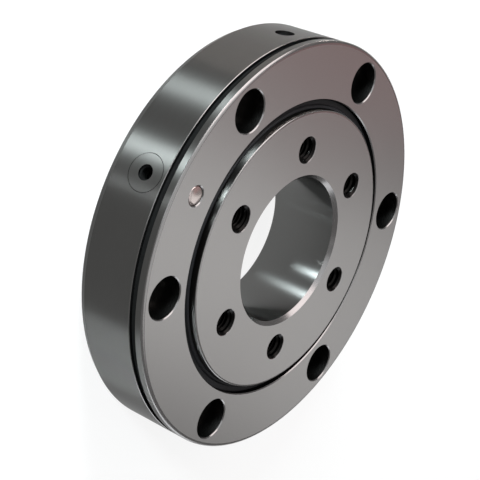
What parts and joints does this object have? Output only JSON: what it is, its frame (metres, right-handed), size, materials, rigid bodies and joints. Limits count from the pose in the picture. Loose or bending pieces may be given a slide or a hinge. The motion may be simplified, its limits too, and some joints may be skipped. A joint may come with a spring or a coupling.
{
  "type": "crossed roller bearing",
  "caption": "Flat ring bearing with screw holes in both rings; crossed rollers between them carry radial, axial and tilting loads.",
  "frame": {"origin": "centre of the outer ring's back face, on which the bearing lies", "axes": "+Z along the bearing's axis, out of the front face with the counterbores; +X through one screw hole of the outer ring"},
  "size_m": [0.112, 0.112, 0.022],
  "materials": {
    "ring_steel": "ground",
    "pin_steel": "ground",
    "roller_steel": "lapped",
    "seal_rubber": "matte",
    "spacer_plastic": "matte"
  },
  "bodies": {
    "outer_race": {"outer_ring": "ring_steel", "front_seal": "seal_rubber", "back_seal": "seal_rubber", "filling_plug": "ring_steel", "plug_pin": "pin_steel"},
    "inner_race": {"inner_ring": "ring_steel"},
    "roller_row": {"spacer_01": "spacer_plastic", "spacer_02": "spacer_plastic", "spacer_03": "spacer_plastic", "spacer_04": "spacer_plastic", "spacer_05": "spacer_plastic", "spacer_06": "spacer_plastic", "spacer_07": "spacer_plastic", "spacer_08": "spacer_plastic", "spacer_09": "spacer_plastic", "spacer_10": "spacer_plastic", "spacer_11": "spacer_plastic", "spacer_12": "spacer_plastic", "spacer_13": "spacer_plastic", "spacer_14": "spacer_plastic", "spacer_15": "spacer_plastic", "spacer_16": "spacer_plastic", "spacer_17": "spacer_plastic", "spacer_18": "spacer_plastic", "spacer_19": "spacer_plastic", "spacer_20": "spacer_plastic", "spacer_21": "spacer_plastic", "spacer_22": "spacer_plastic", "spacer_23": "spacer_plastic", "spacer_24": "spacer_plastic"},
    "roller_01": {"roller_01": "roller_steel"},
    "roller_02": {"roller_02": "roller_steel"},
    "roller_03": {"roller_03": "roller_steel"},
    "roller_04": {"roller_04": "roller_steel"},
    "roller_05": {"roller_05": "roller_steel"},
    "roller_06": {"roller_06": "roller_steel"},
    "roller_07": {"roller_07": "roller_steel"},
    "roller_08": {"roller_08": "roller_steel"},
    "roller_09": {"roller_09": "roller_steel"},
    "roller_10": {"roller_10": "roller_steel"},
    "roller_11": {"roller_11": "roller_steel"},
    "roller_12": {"roller_12": "roller_steel"},
    "roller_13": {"roller_13": "roller_steel"},
    "roller_14": {"roller_14": "roller_steel"},
    "roller_15": {"roller_15": "roller_steel"},
    "roller_16": {"roller_16": "roller_steel"},
    "roller_17": {"roller_17": "roller_steel"},
    "roller_18": {"roller_18": "roller_steel"},
    "roller_19": {"roller_19": "roller_steel"},
    "roller_20": {"roller_20": "roller_steel"},
    "roller_21": {"roller_21": "roller_steel"},
    "roller_22": {"roller_22": "roller_steel"},
    "roller_23": {"roller_23": "roller_steel"},
    "roller_24": {"roller_24": "roller_steel"}
  },
  "joints": [
    {"name": "inner_ring_spin", "type": "hinge", "parent": "outer_race", "child": "inner_race", "pos_m": [0, 0, 0.011], "axis": [0, 0, 1], "continuous": true},
    {"name": "roller_row_orbit", "type": "hinge", "parent": "outer_race", "child": "roller_row", "pos_m": [0, 0, 0.011], "axis": [0, 0, 1], "continuous": true},
    {"name": "roller_01_spin", "type": "hinge", "parent": "roller_row", "child": "roller_01", "pos_m": [0.0385, 0, 0.011], "axis": [0.7071, 0, 0.7071], "continuous": true},
    {"name": "roller_02_spin", "type": "hinge", "parent": "roller_row", "child": "roller_02", "pos_m": [0.03719, 0.00996, 0.011], "axis": [0.683, 0.183, -0.7071], "continuous": true},
    {"name": "roller_03_spin", "type": "hinge", "parent": "roller_row", "child": "roller_03", "pos_m": [0.03334, 0.01925, 0.011], "axis": [0.6124, 0.3536, 0.7071], "continuous": true},
    {"name": "roller_04_spin", "type": "hinge", "parent": "roller_row", "child": "roller_04", "pos_m": [0.02722, 0.02722, 0.011], "axis": [0.5, 0.5, -0.7071], "continuous": true},
    {"name": "roller_05_spin", "type": "hinge", "parent": "roller_row", "child": "roller_05", "pos_m": [0.01925, 0.03334, 0.011], "axis": [0.3536, 0.6124, 0.7071], "continuous": true},
    {"name": "roller_06_spin", "type": "hinge", "parent": "roller_row", "child": "roller_06", "pos_m": [0.00996, 0.03719, 0.011], "axis": [0.183, 0.683, -0.7071], "continuous": true},
    {"name": "roller_07_spin", "type": "hinge", "parent": "roller_row", "child": "roller_07", "pos_m": [0, 0.0385, 0.011], "axis": [0, 0.7071, 0.7071], "continuous": true},
    {"name": "roller_08_spin", "type": "hinge", "parent": "roller_row", "child": "roller_08", "pos_m": [-0.00996, 0.03719, 0.011], "axis": [-0.183, 0.683, -0.7071], "continuous": true},
    {"name": "roller_09_spin", "type": "hinge", "parent": "roller_row", "child": "roller_09", "pos_m": [-0.01925, 0.03334, 0.011], "axis": [-0.3536, 0.6124, 0.7071], "continuous": true},
    {"name": "roller_10_spin", "type": "hinge", "parent": "roller_row", "child": "roller_10", "pos_m": [-0.02722, 0.02722, 0.011], "axis": [-0.5, 0.5, -0.7071], "continuous": true},
    {"name": "roller_11_spin", "type": "hinge", "parent": "roller_row", "child": "roller_11", "pos_m": [-0.03334, 0.01925, 0.011], "axis": [-0.6124, 0.3536, 0.7071], "continuous": true},
    {"name": "roller_12_spin", "type": "hinge", "parent": "roller_row", "child": "roller_12", "pos_m": [-0.03719, 0.00996, 0.011], "axis": [-0.683, 0.183, -0.7071], "continuous": true},
    {"name": "roller_13_spin", "type": "hinge", "parent": "roller_row", "child": "roller_13", "pos_m": [-0.0385, 0, 0.011], "axis": [-0.7071, 0, 0.7071], "continuous": true},
    {"name": "roller_14_spin", "type": "hinge", "parent": "roller_row", "child": "roller_14", "pos_m": [-0.03719, -0.00996, 0.011], "axis": [-0.683, -0.183, -0.7071], "continuous": true},
    {"name": "roller_15_spin", "type": "hinge", "parent": "roller_row", "child": "roller_15", "pos_m": [-0.03334, -0.01925, 0.011], "axis": [-0.6124, -0.3536, 0.7071], "continuous": true},
    {"name": "roller_16_spin", "type": "hinge", "parent": "roller_row", "child": "roller_16", "pos_m": [-0.02722, -0.02722, 0.011], "axis": [-0.5, -0.5, -0.7071], "continuous": true},
    {"name": "roller_17_spin", "type": "hinge", "parent": "roller_row", "child": "roller_17", "pos_m": [-0.01925, -0.03334, 0.011], "axis": [-0.3536, -0.6124, 0.7071], "continuous": true},
    {"name": "roller_18_spin", "type": "hinge", "parent": "roller_row", "child": "roller_18", "pos_m": [-0.00996, -0.03719, 0.011], "axis": [-0.183, -0.683, -0.7071], "continuous": true},
    {"name": "roller_19_spin", "type": "hinge", "parent": "roller_row", "child": "roller_19", "pos_m": [0, -0.0385, 0.011], "axis": [0, -0.7071, 0.7071], "continuous": true},
    {"name": "roller_20_spin", "type": "hinge", "parent": "roller_row", "child": "roller_20", "pos_m": [0.00996, -0.03719, 0.011], "axis": [0.183, -0.683, -0.7071], "continuous": true},
    {"name": "roller_21_spin", "type": "hinge", "parent": "roller_row", "child": "roller_21", "pos_m": [0.01925, -0.03334, 0.011], "axis": [0.3536, -0.6124, 0.7071], "continuous": true},
    {"name": "roller_22_spin", "type": "hinge", "parent": "roller_row", "child": "roller_22", "pos_m": [0.02722, -0.02722, 0.011], "axis": [0.5, -0.5, -0.7071], "continuous": true},
    {"name": "roller_23_spin", "type": "hinge", "parent": "roller_row", "child": "roller_23", "pos_m": [0.03334, -0.01925, 0.011], "axis": [0.6124, -0.3536, 0.7071], "continuous": true},
    {"name": "roller_24_spin", "type": "hinge", "parent": "roller_row", "child": "roller_24", "pos_m": [0.03719, -0.00996, 0.011], "axis": [0.683, -0.183, -0.7071], "continuous": true}
  ],
  "couplings": [
    {"joint": "roller_row_orbit", "follows": "inner_ring_spin", "ratio": 0.47015},
    {"joint": "roller_01_spin", "follows": "inner_ring_spin", "ratio": -5.902},
    {"joint": "roller_02_spin", "follows": "inner_ring_spin", "ratio": 5.902},
    {"joint": "roller_03_spin", "follows": "inner_ring_spin", "ratio": -5.902},
    {"joint": "roller_04_spin", "follows": "inner_ring_spin", "ratio": 5.902},
    {"joint": "roller_05_spin", "follows": "inner_ring_spin", "ratio": -5.902},
    {"joint": "roller_06_spin", "follows": "inner_ring_spin", "ratio": 5.902},
    {"joint": "roller_07_spin", "follows": "inner_ring_spin", "ratio": -5.902},
    {"joint": "roller_08_spin", "follows": "inner_ring_spin", "ratio": 5.902},
    {"joint": "roller_09_spin", "follows": "inner_ring_spin", "ratio": -5.902},
    {"joint": "roller_10_spin", "follows": "inner_ring_spin", "ratio": 5.902},
    {"joint": "roller_11_spin", "follows": "inner_ring_spin", "ratio": -5.902},
    {"joint": "roller_12_spin", "follows": "inner_ring_spin", "ratio": 5.902},
    {"joint": "roller_13_spin", "follows": "inner_ring_spin", "ratio": -5.902},
    {"joint": "roller_14_spin", "follows": "inner_ring_spin", "ratio": 5.902},
    {"joint": "roller_15_spin", "follows": "inner_ring_spin", "ratio": -5.902},
    {"joint": "roller_16_spin", "follows": "inner_ring_spin", "ratio": 5.902},
    {"joint": "roller_17_spin", "follows": "inner_ring_spin", "ratio": -5.902},
    {"joint": "roller_18_spin", "follows": "inner_ring_spin", "ratio": 5.902},
    {"joint": "roller_19_spin", "follows": "inner_ring_spin", "ratio": -5.902},
    {"joint": "roller_20_spin", "follows": "inner_ring_spin", "ratio": 5.902},
    {"joint": "roller_21_spin", "follows": "inner_ring_spin", "ratio": -5.902},
    {"joint": "roller_22_spin", "follows": "inner_ring_spin", "ratio": 5.902},
    {"joint": "roller_23_spin", "follows": "inner_ring_spin", "ratio": -5.902},
    {"joint": "roller_24_spin", "follows": "inner_ring_spin", "ratio": 5.902}
  ]
}
